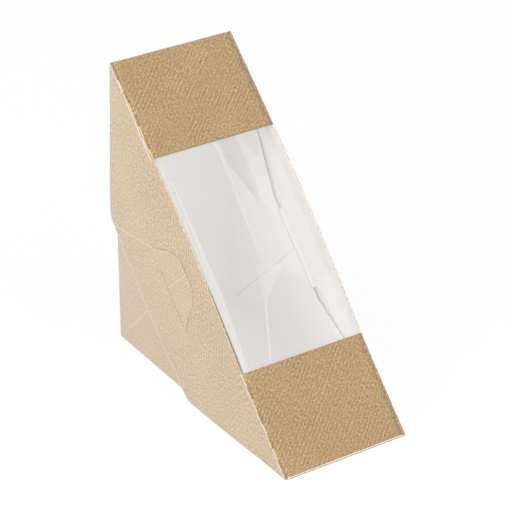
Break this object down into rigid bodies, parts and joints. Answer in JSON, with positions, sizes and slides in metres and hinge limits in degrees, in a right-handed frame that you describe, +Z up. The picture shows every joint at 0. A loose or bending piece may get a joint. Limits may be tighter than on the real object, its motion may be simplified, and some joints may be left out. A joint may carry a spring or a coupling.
{
  "type": "wedge sandwich box with window",
  "caption": "Right-angled wedge carton of ribbed kraft board with a clear window across the sloping lid, side flaps locked by rounded tabs through slits.",
  "frame": {"origin": "centre of the base, on the surface that the box stands on", "axes": "+X from the upright back to the toe under the sloping window, +Y across the box, +Z up along the back"},
  "size_m": [0.123, 0.0624, 0.123],
  "materials": {
    "tray_board": "matt ribbed kraft outside, white inside",
    "lid_board": "matt ribbed kraft outside, white inside",
    "window_film": "clear glossy film"
  },
  "bodies": {
    "tray": {"carton_tray": "tray_board", "lock_tab_left": "tray_board", "lock_tab_right": "tray_board"},
    "lid": {"lid_top_band": "lid_board", "lid_bottom_band": "lid_board", "window_film": "window_film"},
    "flap_left": {"side_flap_left": "lid_board"},
    "flap_right": {"side_flap_right": "lid_board"}
  },
  "joints": [
    {"name": "lid_hinge", "type": "hinge", "parent": "tray", "child": "lid", "pos_m": [-0.0615, 0, 0.123], "axis": [0, -1, 0], "range_deg": [0, 120], "deforming": ["lock_tab_left", "lock_tab_right"]},
    {"name": "flap_left_hinge", "type": "hinge", "parent": "lid", "child": "flap_left", "pos_m": [0.00177, -0.0275, 0.06327], "axis": [-0.7071, 0, 0.7071], "range_deg": [0, 90], "deforming": ["lock_tab_left"]},
    {"name": "flap_right_hinge", "type": "hinge", "parent": "lid", "child": "flap_right", "pos_m": [0.00177, 0.0275, 0.06327], "axis": [0.7071, 0, -0.7071], "range_deg": [0, 90], "deforming": ["lock_tab_right"]}
  ]
}
